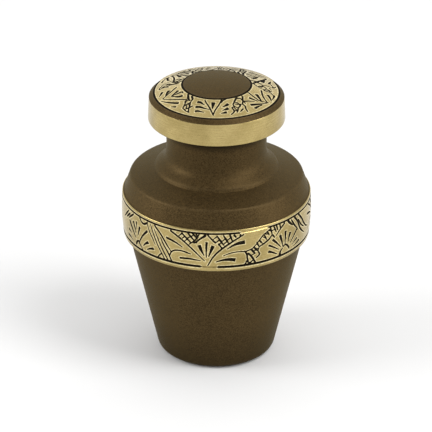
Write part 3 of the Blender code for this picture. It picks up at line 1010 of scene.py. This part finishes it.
def bronze_lacquer():
    """Satin brown lacquer with fine metal flakes in it, lighter on sharp edges as worn lacquer and painted
    sheen, with painted shade below the lid and towards the foot.
    """
    finish = Finish("bronze_lacquer")
    flakes = finish.flakes(FLAKE_SIZE)
    grain = finish.noise(LACQUER_GRAIN, 3.0)
    cloud = finish.noise(LACQUER_CLOUD, 3.0)
    tone = finish.spread(finish.total((flakes, 0.4), (grain, 0.45), (cloud, 0.15)), 0.26, 0.74)
    colour = finish.blend(tone, LACQUER_DARK, LACQUER_LIGHT)
    # Sharp edges are lighter: worn lacquer and a painted edge highlight together
    worn_sheen = finish.math("MULTIPLY", finish.attribute("wear_and_sheen"), finish.spread(grain, 0.35, 0.65, 0.1, 0.5))
    # Painted shade: the lacquer is darkened round the neck below the lid and towards the foot
    height = finish.node("SeparateXYZ", {"Vector": finish.place}).outputs["Z"]
    painted_shade_below_lid = finish.spread(height, SHADE_BEGINS, SHADE_FULL, 0.0, SHADE_BELOW_LID)
    painted_shade_below_lid = finish.math("MULTIPLY", painted_shade_below_lid, finish.math("LESS_THAN", height, SHADE_ENDS))
    painted_shade_near_foot = finish.spread(height, 0.0, FOOT_SHADE_HEIGHT, FOOT_SHADE, 0.0)
    colour = finish.blend(finish.math("ADD", painted_shade_below_lid, painted_shade_near_foot), colour, LACQUER_PAINTED_SHADE)
    finish.set(
        Base_Color=finish.blend(worn_sheen, colour, LACQUER_WORN_SHEEN),
        Metallic=0.6,
        Roughness=finish.spread(finish.total((flakes, 0.6), (cloud, 0.4)), 0.25, 0.75, 0.42, 0.58),
        Specular_IOR_Level=0.08,
        Specular_Tint=(0.8, 0.78, 0.62, 1.0),
    )
    peel = finish.noise(LACQUER_PEEL, 1.0)
    finish.bump(finish.total((flakes, 0.5), (grain, 0.5), (peel, 0.9)), LACQUER_RELIEF)
    return finish.material


def satin_brass():
    """Bare satin brass with fine turning lines, dark filling where a stroke or groove is cut, and a
    painted glint on the burrs beside the strokes.
    """
    finish = Finish("satin_brass")
    ink = finish.attribute("ink")
    filled = finish.spread(ink, 0.0, 0.06, 1.0, 0.0)
    rings = finish.turning(BRASS_TURNING)
    cloud = finish.noise(BRASS_CLOUD, 3.0)
    speck = finish.noise(BRASS_SPECK)
    tone = finish.spread(finish.total((cloud, 0.5), (speck, 0.25), (rings, 0.25)), 0.32, 0.68)
    brass = finish.blend(tone, BRASS_DEEP, BRASS_PALE)
    # Painted glint: a pale ring just outside each stroke, where a burr would catch the light
    near_edge = finish.spread(ink, 0.02, 0.08)
    glint_ring = finish.math("MULTIPLY", near_edge, finish.spread(ink, 0.14, 0.32, 1.0, 0.0))
    uneven = finish.spread(finish.noise(BURR_GLINT_SIZE, 3.0), 0.35, 0.6, 0.2, 0.9)
    burr_glint = finish.math("MULTIPLY", glint_ring, uneven)
    brass = finish.blend(burr_glint, brass, BRASS_BURR_GLINT)
    satin = finish.spread(finish.total((rings, 0.6), (cloud, 0.4)), 0.3, 0.7, 0.2, 0.3)
    finish.set(
        Base_Color=finish.blend(filled, brass, STROKE_FILL),
        Metallic=finish.spread(filled, 0.0, 1.0, 1.0, 0.0),
        Roughness=finish.total((finish.math("SUBTRACT", 0.6, satin), filled), (satin, 1.0)),
        Specular_IOR_Level=0.02,
    )
    finish.bump(finish.total((rings, 0.5), (speck, 0.5)), BRASS_RELIEF)
    return finish.material


def inner_brass():
    """Plain machined brass inside the vessel and under the lid, dulled by age."""
    finish = Finish("inner_brass")
    rings = finish.turning(INNER_TURNING)
    cloud = finish.noise(INNER_CLOUD, 4.0)
    tone = finish.spread(finish.total((cloud, 0.7), (rings, 0.3)), 0.3, 0.7)
    finish.set(
        Base_Color=finish.blend(tone, INNER_DULL, INNER_BRIGHT),
        Metallic=1.0,
        Roughness=finish.spread(cloud, 0.3, 0.7, 0.38, 0.52),
    )
    finish.bump(rings, INNER_RELIEF)
    return finish.material


def paper_white():
    """The studio's matt white sweep."""
    finish = Finish("paper_white")
    tooth = finish.noise(PAPER_TOOTH, 4.0)
    finish.set(Base_Color=FLOOR_WHITE, Roughness=0.9, Specular_IOR_Level=0.1)
    finish.bump(tooth, PAPER_RELIEF, strength=0.3)
    return finish.material


def add_floor():
    """A wide round sheet that the urn stands on."""
    work = bmesh.new()
    bmesh.ops.create_circle(work, cap_ends=True, segments=FLOOR_SIDES, radius=FLOOR_RADIUS)
    mesh = bpy.data.meshes.new("floor")
    work.to_mesh(mesh)
    work.free()
    mesh.materials.append(paper_white())
    floor = bpy.data.objects.new("floor", mesh)
    bpy.context.scene.collection.objects.link(floor)


def add_softbox(name, direction, power, size):
    """A square soft light that faces the urn from this direction."""
    data = bpy.data.lights.new(name, "AREA")
    data.shape = "SQUARE"
    data.size = size
    data.energy = power
    light = bpy.data.objects.new(name, data)
    aim = Vector(direction).normalized()
    light.location = aim * SOFTBOX_DISTANCE + Vector((0, 0, TARGET_HEIGHT))
    light.rotation_euler = aim.to_track_quat("Z", "Y").to_euler()
    bpy.context.scene.collection.objects.link(light)


def add_lights():
    """A white room that is brightest behind the urn, and large soft lights on both sides and above."""
    world = bpy.data.worlds.new("studio")
    world.use_nodes = True
    nodes = world.node_tree.nodes
    direction = nodes.new("ShaderNodeTexCoord")
    parts = nodes.new("ShaderNodeSeparateXYZ")
    strength = nodes.new("ShaderNodeMapRange")
    for end, (direction_y, brightness) in (("Min", ROOM_BEFORE), ("Max", ROOM_BEHIND)):
        strength.inputs["From " + end].default_value = direction_y
        strength.inputs["To " + end].default_value = brightness
    links = world.node_tree.links
    links.new(direction.outputs["Generated"], parts.inputs[0])
    links.new(parts.outputs["Y"], strength.inputs["Value"])
    links.new(strength.outputs[0], nodes["Background"].inputs["Strength"])
    nodes["Background"].inputs["Color"].default_value = (1.0, 1.0, 1.0, 1.0)
    bpy.context.scene.world = world
    for softbox in SOFTBOXES:
        add_softbox(*softbox)


def add_camera():
    """A long lens at the photograph's angle."""
    data = bpy.data.cameras.new("camera")
    data.sensor_fit = "HORIZONTAL"
    data.sensor_width = SENSOR_WIDTH
    data.lens = FOCAL_PIXELS / IMAGE_PIXELS * SENSOR_WIDTH
    camera = bpy.data.objects.new("camera", data)
    back = Vector((0.0, -math.cos(CAMERA_ELEVATION), math.sin(CAMERA_ELEVATION)))
    aim = back.to_track_quat("Z", "Y").to_matrix() @ Matrix.Rotation(CAMERA_ROLL, 3, "Z")
    camera.rotation_euler = aim.to_euler()
    camera.location = back * CAMERA_DISTANCE + Vector((CAMERA_ASIDE, 0.0, TARGET_HEIGHT))
    bpy.context.scene.collection.objects.link(camera)
    bpy.context.scene.camera = camera


def main():
    finishes = (bronze_lacquer(), satin_brass(), inner_brass())
    vessel = turned("urn_vessel", body_rings(), ink_band)
    cap = turned("urn_cap", lid_rings(), ink_cone)
    for piece, node, slot in ((vessel, "urn_body", "bronze_lacquer"), (cap, "lid", "satin_brass")):
        for finish in finishes:
            piece.data.materials.append(finish)
        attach(piece, "root")
        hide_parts(node)
    add_floor()
    add_lights()
    add_camera()
    bpy.context.scene.view_settings.view_transform = "Standard"


main()
